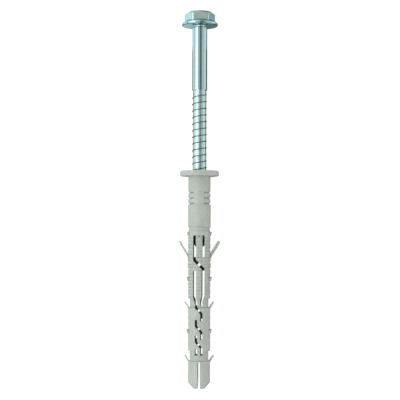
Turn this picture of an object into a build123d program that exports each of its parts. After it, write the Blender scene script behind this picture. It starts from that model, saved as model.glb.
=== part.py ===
from build123d import *
import math
import os

os.makedirs("parts", exist_ok=True)

# The fixing is built upright: its axis is Z, the underside of the plug's collar is at
# z = 0, the head points up and the front of the slots faces -Y. At the end it is laid down.

# Plug, collar and neck
collar_d = 18.3
collar_h = 2.4
collar_edge = 0.35
body_d = 10.4
neck_len = 13.6
neck_groove_count = 3
neck_groove_pitch = 2.57
neck_groove_w = 1.1
neck_groove_depth = 0.65
neck_groove_to_sleeve = 0.6
neck_web_half_w = 2.35

# Plug, smooth sleeve and the relief under it
sleeve_len = 10.05
sleeve_top_d = 10.75
sleeve_low_d = 10.6
relief_d = 9.85
relief_len = 2.2
sleeve_jog_h = 0.42
sleeve_jog_x = 1.5

# Plug, two expansion zones with a waist under each
collar_ring_len = 2.1
zone_d = 10.5
zone_1_len = 29.6
zone_2_len = 20.2
waist_d = 8.75
waist_1_len = 4.4
waist_2_len = 4.9
zone_1_notch_count = 10
zone_2_notch_count = 6
notch_pitch = 3.07
notch_depth = 0.4
notch_w = 1.0
notch_to_zone_end = 1.65

# Plug, nose
nose_len = 12.95
nose_top_d = 10.25
nose_chamfer_h = 2.9
nose_end_d = 5.3
nose_slit_w = 1.2
nose_slit_top_gap = 0.35

# Plug, inside
entry_bore_d = 7.4
grip_bore_d = 5.2
nose_bore_d = 2.0
entry_bore_len = 36.6
bore_taper_len = 3.4
nose_bore_taper_len = 1.2

# Slots, seen from the front, as distances from the axis and heights below the ring
slot_w = 1.33
slot_x = 2.0
slot_cross_h = 4.0
slot_a_len = 11.6
slot_b_w = 0.95
slot_b_x = 2.19
slot_b_len = 10.2
slot_c_gap = 1.0
low_slot_w = 1.05
low_slot_x = 1.25
low_slot_cross_h = 2.8
low_slot_first_rise = 0.2
low_slot_first_pitch = 8.7
low_slot_pitch = 7.4
low_slot_straight = 3.1
low_slot_tail = 3.5
wide_slot_end_gap = 1.0
shift_a_h = 1.8
shift_c_h = 3.8
slot_a_end_gap = 0.9
tongue_recess = 0.2
tongue_dent_d = 1.3
tongue_dent_depth = 0.7

# Barbs on the two sides
barb_d = 12.0
barb_foot_d = 11.0
barb_h = 1.9
barb_lip_h = 0.35
barb_half_angle = 28
barb_embed = 0.6
barb_1_gap = 0.45
barb_2_drop = 19.6
barb_3_drop = 10.2

# Fins on the two sides
fin_angle = 31
fin_len = 7.8
fin_w = 1.5
fin_t = 0.8
fin_root_drop = 9.3
fin_pad_d = 10.85
fin_pad_h = 1.9
fin_pad_rise = 13.82
fin_pad_count = 2
short_fin_angle = 32
short_fin_len = 3.4
short_fin_w = 1.0
short_fin_t = 0.6
short_fin_inset = 0.3
fin_embed = 1.2

# Screw
screw_draw = 68.2
screw_turn = 4.5
screw_len = 105.5
shank_d = 7.0
plain_len = 30.5
step_len = 0.5
core_d = 6.3
thread_d = 7.15
thread_pitch = 3.11
thread_turns = 23
thread_gap = 1.75
thread_foot_w = 1.6
thread_foot_d = 4.0
tip_len = 3.4
tip_d = 0.5

# Screw head
across_flats = 12.7
hex_edge_r = 1.0
head_h = 6.6
crown_flat_d = 10.6
crown_drop = 1.3
crown_d = 14.4
flange_d = 17.0
flange_rim_h = 1.45
flange_edge = 0.35
flange_cone_h = 1.25
flange_cone_d = 12.0
under_head = 0.4

# Heights worked out from the lengths above
sleeve_top_z = -neck_len
sleeve_low_z = sleeve_top_z - sleeve_len
ring_top_z = sleeve_low_z - relief_len
zone_1_top_z = ring_top_z - collar_ring_len
zone_1_low_z = zone_1_top_z - zone_1_len
zone_2_top_z = zone_1_low_z - waist_1_len
zone_2_low_z = zone_2_top_z - zone_2_len
nose_top_z = zone_2_low_z - waist_2_len
nose_low_z = nose_top_z - nose_len
seat_z = collar_h + screw_draw
head_top_z = seat_z + head_h
shank_low_z = seat_z - plain_len
thread_top_z = shank_low_z - thread_gap
thread_low_z = thread_top_z - thread_turns * thread_pitch
tip_z = seat_z - screw_len
body_r = body_d / 2
zone_r = zone_d / 2
reach = collar_d
overrun = 1.0


def outline(points):
    return make_face(Polyline(*points, close=True))


def turned(points):
    return revolve(Plane.XZ * outline(points), Axis.Z)


def both_sides(shape):
    return shape + Rot(0, 0, 180) * shape


# Grooves round the neck, with a web at the front and the back where they are filled

def neck_grooves():
    low_z = sleeve_top_z + neck_groove_to_sleeve
    points = []
    for i in reversed(range(neck_groove_count)):
        z = low_z + i * neck_groove_pitch
        points += [
            (body_r, z + neck_groove_w / 2),
            (body_r - neck_groove_depth, z),
            (body_r, z - neck_groove_w / 2),
        ]
    return points


def neck_webs():
    block = Box(2 * neck_web_half_w, 2 * reach, neck_len) & Cylinder(body_r, neck_len)
    return Pos(0, 0, sleeve_top_z + neck_len / 2) * block


# Notches straight across the two sides of the expansion zones

def side_notches(zone_low_z, count):
    mouth_half_h = notch_w / 2 * (1 + overrun / notch_depth)
    made = []
    for i in range(count):
        z = zone_low_z + notch_to_zone_end + i * notch_pitch
        section = outline([
            (zone_r - notch_depth, z),
            (zone_r + overrun, z + mouth_half_h),
            (zone_r + overrun, z - mouth_half_h),
        ])
        made.append(both_sides(extrude(Plane.XZ * section, reach, both=True)))
    return made


# Slots in the front, repeated in the back by a half turn

def cut_both_sides(sketch):
    return both_sides(extrude(Plane.XZ * sketch, reach))


def stroke(points, width):
    return cut_both_sides(trace(Polyline(*points), width))


def narrowing(x_top, z_top, x_low, z_low):
    return cut_both_sides(outline([
        (x_top - slot_w / 2, z_top),
        (x_top + slot_w / 2, z_top),
        (x_low + low_slot_w / 2, z_low),
        (x_low - low_slot_w / 2, z_low),
    ]))


def s_slot(top_z, bend_z):
    cross_z = bend_z - low_slot_cross_h
    return stroke([
        (-low_slot_x, top_z),
        (-low_slot_x, bend_z),
        (low_slot_x, cross_z),
        (low_slot_x, cross_z - low_slot_tail),
    ], low_slot_w)


def slot_a():
    bend_z = zone_1_top_z - slot_a_len
    wide_end_z = zone_1_low_z + wide_slot_end_gap
    narrow_z = wide_end_z - shift_a_h
    return [
        stroke([
            (-slot_x, zone_1_top_z),
            (-slot_x, bend_z),
            (slot_x, bend_z - slot_cross_h),
            (slot_x, wide_end_z),
        ], slot_w),
        narrowing(slot_x, wide_end_z, low_slot_x, narrow_z),
        stroke([
            (low_slot_x, narrow_z),
            (low_slot_x, zone_2_top_z + slot_a_end_gap),
        ], low_slot_w),
    ]


def slot_b():
    return [stroke([
        (slot_b_x, zone_1_top_z),
        (slot_b_x, zone_1_top_z - slot_b_len),
    ], slot_b_w)]


def slot_c():
    top_z = zone_1_top_z - slot_a_len - slot_cross_h - slot_c_gap
    wide_end_z = zone_1_low_z + wide_slot_end_gap
    narrow_z = wide_end_z - shift_c_h
    bend_z = zone_2_top_z + low_slot_first_rise
    return [
        stroke([(-slot_x, top_z), (-slot_x, wide_end_z)], slot_w),
        narrowing(-slot_x, wide_end_z, -low_slot_x, narrow_z),
        s_slot(narrow_z, bend_z),
    ]


def lower_slots():
    bend_d_z = zone_2_top_z + low_slot_first_rise - low_slot_first_pitch
    bend_e_z = bend_d_z - low_slot_pitch
    end_z = bend_e_z - low_slot_cross_h - low_slot_tail
    return [
        s_slot(bend_d_z + low_slot_straight, bend_d_z),
        s_slot(bend_e_z + low_slot_straight, bend_e_z),
        stroke([
            (-low_slot_x, end_z + low_slot_straight),
            (-low_slot_x, end_z),
        ], low_slot_w),
    ]


def tongue_cuts():
    tongue_w = 2 * slot_x - slot_w
    shell = Cylinder(zone_r + tongue_recess, slot_b_len)
    shell -= Cylinder(zone_r - tongue_recess, slot_b_len)
    window = Box(tongue_w, 2 * reach, slot_b_len)
    recess = Pos(0, 0, zone_1_top_z - slot_b_len / 2) * (shell & window)
    dent_r = tongue_dent_d / 2
    half_disc = Circle(dent_r) & Pos(0, -dent_r) * Rectangle(tongue_w, 2 * dent_r)
    dent_plane = Plane.XZ.offset(zone_r - tongue_dent_depth)
    dent = extrude(dent_plane * Pos(0, zone_1_top_z) * half_disc, reach)
    return [recess, both_sides(dent)]


# Nose

def nose_slit():
    slit_len = nose_len - nose_slit_top_gap
    slit = Box(nose_slit_w, 2 * reach, slit_len)
    return [Pos(0, 0, nose_low_z + slit_len / 2) * slit]


# Barbs and fins on the two sides

def side_ridge(points):
    ridge = revolve(Plane.XZ * outline(points), Axis.Z, 2 * barb_half_angle)
    return both_sides(Rot(0, 0, -barb_half_angle) * ridge)


def barb(tip_z):
    root_r = zone_r - barb_embed
    return side_ridge([
        (root_r, tip_z - barb_lip_h),
        (zone_r, tip_z - barb_lip_h),
        (barb_d / 2, tip_z),
        (barb_foot_d / 2, tip_z - barb_h),
        (root_r, tip_z - barb_h),
    ])


def fin_pads():
    root_r = zone_r - barb_embed
    low_z = zone_1_low_z + notch_to_zone_end + fin_pad_rise
    return [
        side_ridge([
            (root_r, z + fin_pad_h / 2),
            (fin_pad_d / 2, z + fin_pad_h / 2),
            (fin_pad_d / 2, z - fin_pad_h / 2),
            (root_r, z - fin_pad_h / 2),
        ])
        for z in [low_z + i * notch_pitch for i in range(fin_pad_count)]
    ]


def blade(length, width, thickness):
    body_len = length + fin_embed - width / 2
    sketch = Pos(body_len / 2 - fin_embed, 0) * Rectangle(body_len, width)
    sketch += Pos(length - width / 2, 0) * Circle(width / 2)
    return Pos(0, 0, -thickness / 2) * extrude(sketch, thickness)


def fins(root_r, root_z, angle, length, width, thickness):
    lean = math.radians(angle)
    blade_shape = blade(length, width, thickness)
    right = Plane((root_r, 0, root_z), (math.sin(lean), 0, math.cos(lean)), (0, -1, 0))
    left = Plane((-root_r, 0, root_z), (-math.sin(lean), 0, math.cos(lean)), (0, -1, 0))
    return [right * blade_shape, left * Rot(90, 0, 0) * blade_shape]


# Bore

def bore():
    top_z = collar_h + overrun
    low_z = nose_low_z - overrun
    return turned([
        (0, top_z),
        (entry_bore_d / 2, top_z),
        (entry_bore_d / 2, -entry_bore_len),
        (grip_bore_d / 2, -entry_bore_len - bore_taper_len),
        (grip_bore_d / 2, nose_top_z),
        (nose_bore_d / 2, nose_top_z - nose_bore_taper_len),
        (nose_bore_d / 2, low_z),
        (0, low_z),
    ])


def plug_body():
    waist_r = waist_d / 2
    return turned([
        (0, collar_h),
        (collar_d / 2 - collar_edge, collar_h),
        (collar_d / 2, collar_h - collar_edge),
        (collar_d / 2, collar_edge),
        (collar_d / 2 - collar_edge, 0),
        (body_r, 0),
        *neck_grooves(),
        (body_r, sleeve_top_z),
        (sleeve_top_d / 2, sleeve_top_z),
        (sleeve_low_d / 2, sleeve_low_z),
        (relief_d / 2, sleeve_low_z),
        (relief_d / 2, ring_top_z),
        (zone_r, ring_top_z),
        (zone_r, zone_1_low_z),
        (waist_r, zone_1_low_z),
        (waist_r, zone_2_top_z),
        (zone_r, zone_2_top_z),
        (zone_r, zone_2_low_z),
        (waist_r, zone_2_low_z),
        (waist_r, nose_top_z),
        (nose_top_d / 2, nose_top_z),
        (body_r, nose_low_z + nose_chamfer_h),
        (nose_end_d / 2, nose_low_z),
        (0, nose_low_z),
    ])


def sleeve_jog():
    ring = Cylinder(sleeve_low_d / 2, sleeve_jog_h)
    side_w = sleeve_low_d - sleeve_jog_x
    side = Box(side_w, sleeve_low_d, sleeve_jog_h)
    side = Pos(sleeve_jog_x + side_w / 2, -sleeve_low_d / 2) * side
    return Pos(0, 0, sleeve_low_z - sleeve_jog_h / 2) * both_sides(ring & side)


def barbs():
    tips = [
        ring_top_z - barb_1_gap,
        zone_1_top_z - barb_2_drop,
        zone_2_top_z - barb_3_drop,
    ]
    return [barb(z) for z in tips]


def all_fins():
    long_root_z = zone_1_top_z - fin_root_drop
    short_root_r = zone_r - short_fin_inset
    made = fins(fin_pad_d / 2, long_root_z, fin_angle, fin_len, fin_w, fin_t)
    for root_z in [zone_2_top_z, nose_top_z]:
        made += fins(
            short_root_r, root_z, short_fin_angle, short_fin_len, short_fin_w, short_fin_t
        )
    return made


def make_plug():
    body = plug_body() + sleeve_jog() + neck_webs()
    for cut in tongue_cuts():
        body -= cut
    for cut in side_notches(zone_1_low_z, zone_1_notch_count):
        body -= cut
    for cut in side_notches(zone_2_low_z, zone_2_notch_count):
        body -= cut
    for piece in barbs() + fin_pads() + all_fins():
        body += piece
    body -= bore()
    for cut in slot_a() + slot_b() + slot_c() + lower_slots() + nose_slit():
        body -= cut
    return body


# Screw

def thread_ridge():
    foot_r = thread_foot_d / 2
    section = Plane.XZ * outline([
        (foot_r, thread_foot_w / 2),
        (thread_d / 2, 0),
        (foot_r, -thread_foot_w / 2),
    ])
    path = Helix(thread_pitch, thread_turns * thread_pitch, foot_r)
    ridge = sweep(section, path=path, is_frenet=True)
    ridge = Pos(0, 0, thread_low_z) * ridge
    margin = thread_d / 2 - core_d / 2
    envelope = turned([
        (0, tip_z),
        (tip_d / 2, tip_z),
        (thread_d / 2 + margin, tip_z + tip_len + margin),
        (thread_d / 2 + margin, shank_low_z),
        (0, shank_low_z),
    ])
    return ridge & envelope


def screw_body():
    flange_top_z = seat_z + flange_rim_h + flange_cone_h
    return turned([
        (0, tip_z),
        (tip_d / 2, tip_z),
        (core_d / 2, tip_z + tip_len),
        (core_d / 2, shank_low_z),
        (shank_d / 2, shank_low_z + step_len),
        (shank_d / 2, seat_z - under_head),
        (shank_d / 2 + under_head, seat_z),
        (flange_d / 2 - flange_edge, seat_z),
        (flange_d / 2, seat_z + flange_edge),
        (flange_d / 2, seat_z + flange_rim_h - flange_edge),
        (flange_d / 2 - flange_edge, seat_z + flange_rim_h),
        (flange_cone_d / 2, flange_top_z),
        (0, flange_top_z),
    ])


def hex_head():
    hexagon = RegularPolygon(across_flats / 2, 6, major_radius=False)
    hexagon = fillet(hexagon.vertices(), hex_edge_r)
    prism_low_z = seat_z + flange_rim_h
    prism = Pos(0, 0, prism_low_z) * extrude(hexagon, head_top_z - prism_low_z)
    crown = turned([
        (0, head_top_z),
        (crown_flat_d / 2, head_top_z),
        (crown_d / 2, head_top_z - crown_drop),
        (flange_d / 2, head_top_z - crown_drop - flange_rim_h),
        (flange_d / 2, seat_z),
        (0, seat_z),
    ])
    return prism & crown


def make_screw():
    return screw_body() + hex_head() + thread_ridge()


# Laid on its side, head towards +X, the front of the slots up

def laid_down(shape):
    middle_z = (head_top_z + nose_low_z) / 2
    return Pos(-middle_z, 0, collar_d / 2) * Rot(0, 0, -90) * Rot(-90, 0, 0) * shape


export_step(laid_down(make_plug()), "parts/plug.step")
export_step(laid_down(Rot(0, 0, screw_turn) * make_screw()), "parts/screw.step")
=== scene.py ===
import math

import bpy
from mathutils import Matrix, Vector

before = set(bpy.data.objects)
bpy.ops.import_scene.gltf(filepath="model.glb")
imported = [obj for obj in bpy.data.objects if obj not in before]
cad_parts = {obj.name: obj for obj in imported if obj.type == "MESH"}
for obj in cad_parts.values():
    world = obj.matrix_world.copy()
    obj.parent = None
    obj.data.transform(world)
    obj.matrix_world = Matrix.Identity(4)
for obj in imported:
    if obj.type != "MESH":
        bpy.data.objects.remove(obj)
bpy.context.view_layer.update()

scene = bpy.context.scene
mm = 0.001

# Places along the fixing, as in the CAD model
axis_z = 9.15 * mm
collar_x = 11.4 * mm
zone_1_low_x, zone_1_high_x = -46.15 * mm, -16.55 * mm
nose_top_x = -75.65 * mm
nose_slit_half = 0.6 * mm
thread_high_x = 51.0 * mm
thread_core_r = 3.15 * mm
flange_low_x, flange_top_x, head_top_x = 82.0 * mm, 83.45 * mm, 88.6 * mm
flat_height = 6.35 * mm

# How far mottle and drawn lines swing to either side of 0
swing = 0.25

# How much red, green and blue a step of warmth adds
warm_steps = (0.02, -0.015, -0.01)


# Node helpers

def node(tree, kind, inputs=None, **settings):
    made = tree.nodes.new(kind)
    for name, value in settings.items():
        setattr(made, name, value)
    for key, value in (inputs or {}).items():
        if isinstance(value, bpy.types.NodeSocket):
            tree.links.new(value, made.inputs[key])
        else:
            made.inputs[key].default_value = value
    return made


def maths(tree, operation, *values):
    return node(tree, "ShaderNodeMath", dict(enumerate(values)), operation=operation).outputs[0]


def product(tree, first, *others):
    for other in others:
        first = maths(tree, "MULTIPLY", first, other)
    return first


def total(tree, first, *others):
    for other in others:
        first = maths(tree, "ADD", first, other)
    return first


def between(tree, value, low, high, new_low=0.0, new_high=1.0, shape="SMOOTHSTEP"):
    ranges = {"Value": value, "From Min": low, "From Max": high, "To Min": new_low, "To Max": new_high}
    return node(tree, "ShaderNodeMapRange", ranges, interpolation_type=shape).outputs[0]


def mixed(tree, factor, first, second):
    return node(tree, "ShaderNodeMix", {0: factor, 6: first, 7: second}, data_type="RGBA").outputs[2]


def tinted(tree, colour, mask, share, tint):
    """The colour with a share of the tint where the mask is 1."""
    return mixed(tree, product(tree, mask, share), colour, tint)


def new_group(name, inputs, outputs):
    tree = bpy.data.node_groups.new(name, "ShaderNodeTree")
    for label, kind, value in inputs:
        socket = tree.interface.new_socket(label, in_out="INPUT", socket_type=kind)
        if value is not None:
            socket.default_value = value
    for label, kind in outputs:
        tree.interface.new_socket(label, in_out="OUTPUT", socket_type=kind)
    return tree, tree.nodes.new("NodeGroupInput").outputs, tree.nodes.new("NodeGroupOutput").inputs


def grouped(tree, group, **inputs):
    return node(tree, "ShaderNodeGroup", {key.replace("_", " "): value for key, value in inputs.items()},
                node_tree=group).outputs


def new_material(name):
    material = bpy.data.materials.new(name)
    material.use_nodes = True
    tree = material.node_tree
    return material, tree, tree.nodes["Principled BSDF"]


def bumped(tree, shader, relief, edge_width):
    """Relief in metres on the surface, with its sharp edges rounded off for the light."""
    rounded = node(tree, "ShaderNodeBevel", {"Radius": edge_width}, samples=6).outputs[0]
    bump = node(tree, "ShaderNodeBump",
                {"Height": relief, "Strength": 1.0, "Distance": 1.0, "Normal": rounded})
    tree.links.new(bump.outputs[0], shader.inputs["Normal"])


# Effects on the finishes

def place_on_fixing():
    """Where the surface is: along, across and above the fixing's axis, and its distance from the axis."""
    tree, _, given = new_group("place on the fixing", [],
                               [("Position", "NodeSocketVector"), ("Along", "NodeSocketFloat"),
                                ("Across", "NodeSocketFloat"), ("Height", "NodeSocketFloat"),
                                ("Radius", "NodeSocketFloat")])
    position = node(tree, "ShaderNodeTexCoord").outputs["Object"]
    along, across, height = node(tree, "ShaderNodeSeparateXYZ", {0: position}).outputs
    lifted = maths(tree, "SUBTRACT", height, axis_z)
    squares = total(tree, product(tree, across, across), product(tree, lifted, lifted))
    radius = maths(tree, "SQRT", squares)
    for label, value in (("Position", position), ("Along", along), ("Across", across),
                         ("Height", lifted), ("Radius", radius)):
        tree.links.new(value, given[label])
    return tree


def mottle():
    """Soft cloudy value round 0, and a finer speckle, from the place on the object."""
    tree, taken, given = new_group("mottle", [("Position", "NodeSocketVector", None),
                                              ("Cloud size", "NodeSocketFloat", 3 * mm),
                                              ("Speckle size", "NodeSocketFloat", 0.3 * mm)],
                                   [("Cloud", "NodeSocketFloat"), ("Speckle", "NodeSocketFloat")])
    for label, detail in (("Cloud", 3.0), ("Speckle", 2.0)):
        scale = maths(tree, "DIVIDE", 1.0, taken[f"{label} size"])
        cloud = node(tree, "ShaderNodeTexNoise",
                     {"Vector": taken["Position"], "Scale": scale, "Detail": detail})
        tree.links.new(maths(tree, "SUBTRACT", cloud.outputs[0], 0.5), given[label])
    return tree


def worn_edge():
    """1 on the object's sharp edges and 0 on its faces, by how far a bevel would turn the normal."""
    face_cosine, edge_cosine = 0.995, 0.95
    tree, taken, given = new_group("worn edge", [("Width", "NodeSocketFloat", 0.3 * mm)],
                                   [("Mask", "NodeSocketFloat")])
    flat = node(tree, "ShaderNodeNewGeometry").outputs["Normal"]
    eased = node(tree, "ShaderNodeBevel", {"Radius": taken["Width"]}, samples=6).outputs[0]
    agreement = node(tree, "ShaderNodeVectorMath", {0: flat, 1: eased}, operation="DOT_PRODUCT")
    tree.links.new(between(tree, agreement.outputs["Value"], face_cosine, edge_cosine), given["Mask"])
    return tree


def recess():
    """1 in a corner or narrow gap and 0 on open surface."""
    open_share, hidden_share = 1.0, 0.45
    tree, taken, given = new_group("recess", [("Reach", "NodeSocketFloat", 0.4 * mm)],
                                   [("Mask", "NodeSocketFloat")])
    hidden = node(tree, "ShaderNodeAmbientOcclusion", {"Distance": taken["Reach"]},
                  samples=8, only_local=True)
    tree.links.new(between(tree, hidden.outputs["AO"], open_share, hidden_share), given["Mask"])
    return tree


place_group = place_on_fixing()
mottle_group = mottle()
recess_group = recess()
edge_group = worn_edge()


# Moulded nylon of the plug

def moulded_nylon():
    material, tree, shader = new_material("moulded nylon")
    place = grouped(tree, place_group)
    position, along, radius = place["Position"], place["Along"], place["Radius"]

    # Grey-green, softly clouded and speckled
    plain, pale, deep = (0.53, 0.59, 0.53, 1), (0.62, 0.68, 0.62, 1), (0.41, 0.46, 0.41, 1)
    spots = grouped(tree, mottle_group, Position=position, Cloud_size=4 * mm, Speckle_size=0.5 * mm)
    shade = total(tree, between(tree, spots["Cloud"], -swing, swing, 0.28, 0.72),
                  between(tree, spots["Speckle"], -swing, swing, -0.52, 0.52))
    colour = mixed(tree, 0.5, mixed(tree, shade, deep, pale), plain)

    # Fine broken ticks and grain on the outside of the upper expansion zone
    tick_pitch, zone_fade = 1.54 * mm, 1 * mm
    inner_r, outer_r = 4.9 * mm, 5.1 * mm
    tick_colour = (0.30, 0.34, 0.31, 1)
    on_zone = product(tree, between(tree, along, zone_1_low_x, zone_1_low_x + zone_fade),
                      between(tree, along, zone_1_high_x, zone_1_high_x - zone_fade),
                      between(tree, radius, inner_r, outer_r))
    breaks = grouped(tree, mottle_group, Position=position, Cloud_size=1.1 * mm, Speckle_size=0.35 * mm)
    wave = maths(tree, "PINGPONG", maths(tree, "DIVIDE", along, tick_pitch), 0.5)
    tick = product(tree, between(tree, wave, 0.34, 0.46), on_zone,
                   between(tree, breaks["Cloud"], -0.10, 0.04))
    grain = product(tree, between(tree, breaks["Speckle"], 0.02, 0.14), on_zone)
    colour = tinted(tree, colour, tick, 0.55, tick_colour)
    colour = tinted(tree, colour, grain, 0.3, tick_colour)

    # Painted light: the walls of the nose's slit are painted pale, for the light that comes through their
    # thin walls
    painted_slit_light = (0.93, 0.95, 0.93, 1)
    from_middle = maths(tree, "ABSOLUTE", place["Across"])
    slit = product(tree, between(tree, from_middle, nose_slit_half + 0.1 * mm, nose_slit_half + 0.02 * mm),
                   between(tree, along, nose_top_x, nose_top_x - 0.3 * mm))
    colour = tinted(tree, colour, slit, 0.9, painted_slit_light)

    # Painted shade: the bore behind the slots is painted nearly black, and steps and grooves get painted
    # shade from the recess mask
    painted_bore_shade, painted_corner_shade = (0.08, 0.09, 0.08, 1), (0.22, 0.25, 0.23, 1)
    slot_r, bore_r = 4.5 * mm, 3.4 * mm
    bore = product(tree, between(tree, radius, slot_r, bore_r),
                   between(tree, along, nose_top_x, nose_top_x + 2 * mm))
    corner = grouped(tree, recess_group, Reach=0.45 * mm)["Mask"]
    colour = tinted(tree, colour, bore, 0.85, painted_bore_shade)
    # Painted shade in corners and grooves
    colour = tinted(tree, colour, corner, 0.5, painted_corner_shade)
    tree.links.new(colour, shader.inputs["Base Color"])

    shader.inputs["Specular IOR Level"].default_value = 0.5
    shader.inputs["Subsurface Weight"].default_value = 0.4
    shader.inputs["Subsurface Radius"].default_value = (0.9, 1.0, 0.85)
    shader.inputs["Subsurface Scale"].default_value = 0.8 * mm
    tree.links.new(between(tree, spots["Cloud"], -swing, swing, 0.36, 0.46), shader.inputs["Roughness"])

    speckle_height, tick_depth, edge_width = 0.06 * mm, 0.15 * mm, 0.12 * mm
    relief = maths(tree, "SUBTRACT", product(tree, spots["Speckle"], speckle_height),
                   product(tree, tick, tick_depth))
    bumped(tree, shader, relief, edge_width)
    return material


# Bright zinc of the screw

def bright_zinc():
    material, tree, shader = new_material("bright zinc")
    place = grouped(tree, place_group)
    position, along, radius = place["Position"], place["Along"], place["Radius"]

    # Passivated zinc, bluish here and yellowish there, with fine lines from drawing the wire
    plain, bluish, yellowish = (0.46, 0.67, 0.69, 1), (0.40, 0.65, 0.71, 1), (0.50, 0.68, 0.64, 1)
    line_colour, line_scale = (0.30, 0.44, 0.46, 1), (60, 2500, 2500)
    spots = grouped(tree, mottle_group, Position=position, Cloud_size=5 * mm, Speckle_size=0.4 * mm)
    stretch = node(tree, "ShaderNodeMapping", {"Vector": position, "Scale": line_scale})
    lines = node(tree, "ShaderNodeTexNoise", {"Vector": stretch.outputs[0], "Scale": 1.0, "Detail": 2.0})
    drawn = maths(tree, "SUBTRACT", lines.outputs[0], 0.5)
    tint = between(tree, spots["Cloud"], -0.2, 0.2)
    colour = mixed(tree, 0.5, mixed(tree, tint, bluish, yellowish), plain)
    colour = mixed(tree, between(tree, drawn, -swing, swing, 0.0, 0.16), colour, line_colour)

    # The hex's edges are worn bright, and its front flat is rubbed duller and warmer than the rest
    rubbed_flat, bright_edge = (0.70, 0.88, 0.77, 1), (0.86, 0.93, 0.95, 1)
    facing = node(tree, "ShaderNodeTexCoord").outputs["Normal"]
    end_on, _, face_up = node(tree, "ShaderNodeSeparateXYZ", {0: facing}).outputs
    on_hex = between(tree, along, flange_top_x, flange_top_x + 0.5 * mm)
    worn = product(tree, grouped(tree, edge_group, Width=0.3 * mm)["Mask"], on_hex)
    at_flat = between(tree, place["Height"], flat_height - 0.5 * mm, flat_height - 0.3 * mm)
    rubbed = product(tree, at_flat, on_hex, between(tree, face_up, 0.97, 0.99),
                     maths(tree, "SUBTRACT", 1.0, worn))
    patches = product(tree, rubbed, between(tree, spots["Speckle"], -0.22, 0.18, 0.6, 1.0))
    colour = mixed(tree, patches, colour, rubbed_flat)
    colour = tinted(tree, colour, worn, 0.8, bright_edge)

    # Painted shade: the crown's chamfer is painted darker than the flats
    painted_crown_shade = (0.30, 0.38, 0.34, 1)
    crown = product(tree, between(tree, end_on, 0.15, 0.3), between(tree, end_on, 0.98, 0.9),
                    between(tree, along, head_top_x - 2.2 * mm, head_top_x - 1.8 * mm))
    colour = tinted(tree, colour, crown, 0.6, painted_crown_shade)

    # A few small pits, and a painted shade line along the flange's lower edge
    pitted, painted_zinc_shade = (0.20, 0.28, 0.28, 1), (0.13, 0.18, 0.18, 1)
    rim_inner_r, rim_outer_r = 7.7 * mm, 8.0 * mm
    pits = between(tree, spots["Speckle"], 0.15, 0.21)
    lower_edge = product(tree, between(tree, radius, rim_inner_r, rim_outer_r),
                         between(tree, along, flange_low_x + 0.5 * mm, flange_low_x + 0.35 * mm))
    colour = tinted(tree, colour, pits, 0.35, pitted)
    colour = tinted(tree, colour, lower_edge, 0.75, painted_zinc_shade)

    # Painted light and shade: the thread's core is painted brighter and its ridges painted dark, and
    # corners get painted shade
    painted_core_light, painted_ridge_shade = (0.60, 0.80, 0.75, 1), (0.11, 0.15, 0.15, 1)
    on_thread = between(tree, along, thread_high_x + 1 * mm, thread_high_x)
    above_core = between(tree, radius, thread_core_r + 0.02 * mm, thread_core_r + 0.12 * mm)
    ridge = product(tree, on_thread, above_core)
    corner = grouped(tree, recess_group, Reach=0.6 * mm)["Mask"]
    colour = tinted(tree, colour, on_thread, 0.7, painted_core_light)
    colour = tinted(tree, colour, ridge, 0.8, painted_ridge_shade)
    # Painted shade in corners
    colour = tinted(tree, colour, corner, 0.6, painted_zinc_shade)
    tree.links.new(colour, shader.inputs["Base Color"])

    shader.inputs["Metallic"].default_value = 1.0
    shader.inputs["Specular Tint"].default_value = (0.45, 0.55, 0.56, 1)
    rubbed_roughness, thread_roughness = 0.26, 0.20
    roughness = total(tree, between(tree, spots["Cloud"], -swing, swing, 0.10, 0.15),
                      product(tree, rubbed, rubbed_roughness), product(tree, on_thread, thread_roughness))
    tree.links.new(roughness, shader.inputs["Roughness"])

    line_height, speckle_height, rolled_height, edge_width = 0.008 * mm, 0.008 * mm, 0.16 * mm, 0.15 * mm
    rolled = grouped(tree, mottle_group, Position=position, Cloud_size=1.5 * mm, Speckle_size=0.4 * mm)
    relief = total(tree, product(tree, drawn, line_height), product(tree, spots["Speckle"], speckle_height),
                   product(tree, rolled["Cloud"], rolled_height, on_thread))
    bumped(tree, shader, relief, edge_width)
    return material


finishes = {"plug": moulded_nylon(), "screw": bright_zinc()}
for name, finish in finishes.items():
    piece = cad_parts[name]
    for slot in piece.material_slots:
        slot.material = finish


# White floor: the camera sees it white, and it keeps the fixing's shadow

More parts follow.
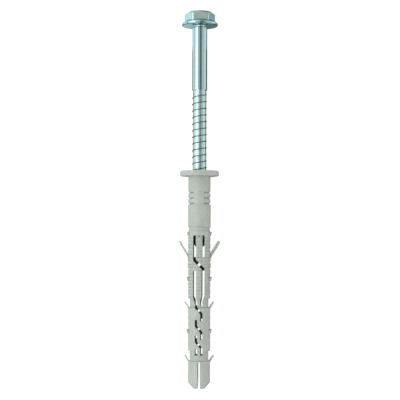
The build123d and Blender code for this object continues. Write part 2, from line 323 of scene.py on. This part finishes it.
def white_floor():
    reach = 1.5
    corners = [(-reach, -reach, 0), (reach, -reach, 0), (reach, reach, 0), (-reach, reach, 0)]
    mesh = bpy.data.meshes.new("floor")
    mesh.from_pydata(corners, [], [(0, 1, 2, 3)])
    floor = bpy.data.objects.new("floor", mesh)
    scene.collection.objects.link(floor)
    material, tree, shader = new_material("white floor")
    shader.inputs["Roughness"].default_value = 0.9
    shader.inputs["Specular IOR Level"].default_value = 0.0
    paper, paper_in_view, dim_paper = (0.8, 0.8, 0.8, 1), (0.30, 0.30, 0.30, 1), (0.08, 0.08, 0.08, 1)
    glow_in_view, glow_by_shank, glow_by_head = 0.86, 0.42, 0.5
    rays = node(tree, "ShaderNodeLightPath").outputs
    in_view = maths(tree, "MAXIMUM", rays["Is Camera Ray"], rays["Is Transmission Ray"])
    place = node(tree, "ShaderNodeTexCoord").outputs["Object"]
    lengthwise, leftward, _ = node(tree, "ShaderNodeSeparateXYZ", {0: place}).outputs

    # What the metal mirrors of the floor is pale too, by a painted glow further out, but has painted shade
    # under the shank and some way out on the right
    shank_end, head_start = 70 * mm, 77 * mm
    left_of_shank, left_of_head, left_fade = 23 * mm, 6 * mm, 11 * mm
    right_of_shank, right_of_head, right_fade = -36 * mm, -45 * mm, 22 * mm
    dim_by_shank, dim_by_head = 1.0, 0.2
    at_head = between(tree, lengthwise, shank_end, head_start)

    def from_shank_to_head(at_shank, at_the_head):
        return between(tree, at_head, 0.0, 1.0, at_shank, at_the_head)

    left_limit = from_shank_to_head(left_of_shank, left_of_head)
    right_limit = from_shank_to_head(right_of_shank, right_of_head)
    lit_left = between(tree, leftward, maths(tree, "SUBTRACT", left_limit, left_fade), left_limit)
    lit_right = between(tree, leftward, maths(tree, "ADD", right_limit, right_fade), right_limit)
    lit = maths(tree, "MAXIMUM", lit_left, lit_right)
    unlit = maths(tree, "SUBTRACT", 1.0, lit)
    dim = product(tree, unlit, from_shank_to_head(dim_by_shank, dim_by_head), rays["Is Glossy Ray"])
    # Painted shade: for the metal's reflections the paper is dark near the fixing
    colour = mixed(tree, dim, mixed(tree, in_view, paper, paper_in_view), dim_paper)
    tree.links.new(colour, shader.inputs["Base Color"])
    # The floor glows white where the camera sees it, and with a painted glow where the metal mirrors it
    # further out
    glow = total(tree, product(tree, in_view, glow_in_view),
                 product(tree, lit, from_shank_to_head(glow_by_shank, glow_by_head), rays["Is Glossy Ray"]))
    tree.links.new(glow, shader.inputs["Emission Strength"])
    shader.inputs["Emission Color"].default_value = (1, 1, 1, 1)
    mesh.materials.append(material)


white_floor()


# Light: a room whose brightness changes round the fixing's axis. The metal mirrors a broad pale window
# on the photo's left, a darker ceiling over the camera and a grey wall on the right. Matte surfaces get
# the same room blurred, brighter on the left.

def level_ramp(tree, share_round, around):
    ramp = node(tree, "ShaderNodeValToRGB", {0: share_round})
    stops = ramp.color_ramp.elements
    while len(stops) < len(around):
        stops.new(0.5)
    brightest = max(level for _, level, _ in around)
    for stop, (degrees, level, warmth) in zip(stops, around):
        red, green, blue = (level / brightest * (1 + step * warmth) for step in warm_steps)
        stop.position = (degrees + 90) / 180
        stop.color = (red, green, blue, 1)
    return ramp.outputs[0], brightest


def room_light():
    # Degrees from overhead, towards the photo's left where positive, then brightness and warmth
    blurred = [
        (-90, 0.62, 2), (-35, 0.70, 2), (0, 0.90, 0), (35, 1.12, -2), (65, 1.16, -2), (90, 0.88, -2),
    ]
    mirrored = [
        (-90, 0.84, 1), (-60, 0.80, 1), (-45, 0.72, 1), (-36, 0.50, 1), (-28, 0.30, 1), (-21, 0.12, 1),
        (-10, 0.12, 0), (-5, 0.58, 0), (22, 0.62, 0), (27, 0.90, -1), (31, 2.40, -1), (46, 2.40, -1),
        (52, 1.60, -1), (70, 1.45, -1), (77, 0.60, -1), (90, 0.50, -1),
    ]
    world = bpy.data.worlds.new("room light")
    world.use_nodes = True
    tree = world.node_tree
    background = tree.nodes["Background"]
    heading = node(tree, "ShaderNodeTexCoord").outputs["Generated"]
    _, leftward, upward = node(tree, "ShaderNodeSeparateXYZ", {0: heading}).outputs
    angle = maths(tree, "ARCTAN2", leftward, upward)
    share_round = between(tree, angle, -math.pi / 2, math.pi / 2, shape="LINEAR")
    blurred_colour, blurred_strength = level_ramp(tree, share_round, blurred)
    mirrored_colour, mirrored_strength = level_ramp(tree, share_round, mirrored)
    rays = node(tree, "ShaderNodeLightPath").outputs
    mirroring = rays["Is Glossy Ray"]
    seen = maths(tree, "MAXIMUM", rays["Is Camera Ray"], rays["Is Transmission Ray"])
    room_colour = mixed(tree, mirroring, blurred_colour, mirrored_colour)
    room_strength = between(tree, mirroring, 0, 1, blurred_strength, mirrored_strength, "LINEAR")
    tree.links.new(mixed(tree, seen, room_colour, (1, 1, 1, 1)), background.inputs["Color"])
    tree.links.new(between(tree, seen, 0, 1, room_strength, 1.0, "LINEAR"), background.inputs["Strength"])
    scene.world = world


room_light()


# Camera at the photo's place, looking down on the fixing

def photo_camera():
    px_per_mm = 2.122
    distance = 556 * mm
    photo_size = 400
    principal_row, photo_axis_column = 245, 199.3
    collar_row = 176.2
    turn, roll = math.radians(2.75), math.radians(0.145)
    away = Vector((0, -math.sin(turn), math.cos(turn)))
    along = Vector((1, 0, 0))
    right = along.cross(away)
    look_x = collar_x - (principal_row - collar_row) / px_per_mm * mm
    aside = (photo_size / 2 - photo_axis_column) / px_per_mm * mm
    aim = Vector((look_x, 0, axis_z)) + right * aside
    up = (along - right * math.tan(roll)).normalized()
    right = up.cross(away)
    data = bpy.data.cameras.new("photo camera")
    data.sensor_width = 36
    data.lens = data.sensor_width * px_per_mm * distance / mm / photo_size
    data.shift_y = (principal_row - photo_size / 2) / photo_size
    data.clip_start = 0.01
    camera = bpy.data.objects.new("photo camera", data)
    scene.collection.objects.link(camera)
    turned = Matrix((right, up, away)).transposed().to_4x4()
    camera.matrix_world = Matrix.Translation(aim + away * distance) @ turned
    scene.camera = camera


photo_camera()
scene.view_settings.view_transform = "Standard"
